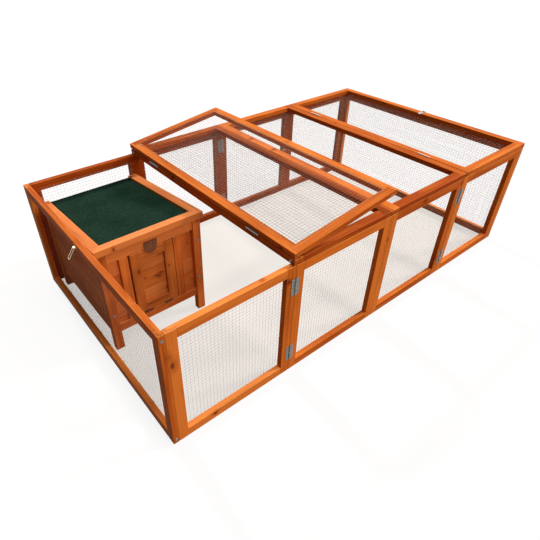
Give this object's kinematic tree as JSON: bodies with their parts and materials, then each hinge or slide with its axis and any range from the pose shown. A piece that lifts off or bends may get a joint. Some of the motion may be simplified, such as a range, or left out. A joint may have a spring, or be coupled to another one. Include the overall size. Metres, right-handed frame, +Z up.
{
  "type": "outdoor pet run with house",
  "caption": "Low timber-framed wire-net run for small pets, with hinged net lids, wire-loop latches and a slatted wooden house with a felted roof and drop-down door.",
  "frame": {"origin": "on the ground, at the middle of the run in plan", "axes": "+X along the run from the house end, +Y from the front side to the back side, +Z up"},
  "size_m": [1.8728, 1.0088, 0.5634],
  "materials": {
    "stained_wood": "orange-brown stained softwood, satin",
    "net_wire": "galvanised welded wire",
    "zinc": "zinc-plated pressed sheet",
    "latch_brass": "pale yellow plating",
    "bolt_steel": "blued zinc",
    "green_felt": "mineral roofing felt",
    "brown_plastic": "matt dark brown"
  },
  "bodies": {
    "run": {"back_panel_1_frame": "stained_wood", "back_panel_1_net": "net_wire", "back_panel_2_frame": "stained_wood", "back_panel_2_net": "net_wire", "back_panel_3_frame": "stained_wood", "back_panel_3_net": "net_wire", "back_panel_4_frame": "stained_wood", "back_panel_4_net": "net_wire", "back_panel_hinges": "zinc", "door_hinge_fixed": "zinc", "frame_bolts": "bolt_steel", "front_panel_1_frame": "stained_wood", "front_panel_1_net": "net_wire", "front_panel_2_frame": "stained_wood", "front_panel_2_net": "net_wire", "front_panel_3_frame": "stained_wood", "front_panel_3_net": "net_wire", "front_panel_4_frame": "stained_wood", "front_panel_4_net": "net_wire", "front_panel_hinges": "zinc", "house_bolts": "bolt_steel", "house_floor": "stained_wood", "house_legs": "stained_wood", "house_rails": "stained_wood", "house_wall_boards": "stained_wood", "left_end_frame": "stained_wood", "left_end_net": "net_wire", "left_latch_base": "latch_brass", "left_lid_hinge_fixed": "zinc", "right_end_frame": "stained_wood", "right_end_net": "net_wire", "right_latch_base": "latch_brass", "right_lid_hinge_fixed": "zinc", "roof_hinge_fixed": "zinc", "top_2_frame": "stained_wood", "top_2_net": "net_wire", "top_3_frame": "stained_wood", "top_3_net": "net_wire"},
    "left_lid": {"left_lid_catch": "zinc", "left_lid_frame": "stained_wood", "left_lid_hinge_moving": "zinc", "left_lid_net": "net_wire"},
    "right_lid": {"right_lid_catch": "zinc", "right_lid_frame": "stained_wood", "right_lid_hinge_moving": "zinc", "right_lid_net": "net_wire"},
    "left_loop": {"left_latch_loop": "latch_brass"},
    "right_loop": {"right_latch_loop": "latch_brass"},
    "house_door": {"door_boards": "stained_wood", "door_frame": "stained_wood", "door_hinge_moving": "zinc", "door_tab": "brown_plastic"},
    "house_roof": {"roof_board": "stained_wood", "roof_felt": "green_felt", "roof_frame": "stained_wood", "roof_hinge_moving": "zinc"}
  },
  "joints": [
    {"name": "left_lid_hinge", "type": "hinge", "parent": "run", "child": "left_lid", "pos_m": [-0.4525, 0, 0.4825], "axis": [0, -1, 0], "range_deg": [0, 172.5]},
    {"name": "right_lid_hinge", "type": "hinge", "parent": "run", "child": "right_lid", "pos_m": [0.4525, 0, 0.4825], "axis": [0, -1, 0], "range_deg": [0, 172.5]},
    {"name": "left_loop_swing", "type": "hinge", "parent": "run", "child": "left_loop", "pos_m": [-0.913, 0, 0.451], "axis": [0, 1, 0], "range_deg": [-33, 155]},
    {"name": "right_loop_swing", "type": "hinge", "parent": "run", "child": "right_loop", "pos_m": [0.913, 0, 0.451], "axis": [0, -1, 0], "range_deg": [-33, 155]},
    {"name": "house_door_hinge", "type": "hinge", "parent": "run", "child": "house_door", "pos_m": [-0.674, -0.0485, 0.1123], "axis": [1, 0, 0], "range_deg": [0, 110]},
    {"name": "house_roof_hinge", "type": "hinge", "parent": "run", "child": "house_roof", "pos_m": [-0.674, 0.4502, 0.36866], "axis": [1, 0, 0], "range_deg": [-83, 0]}
  ]
}
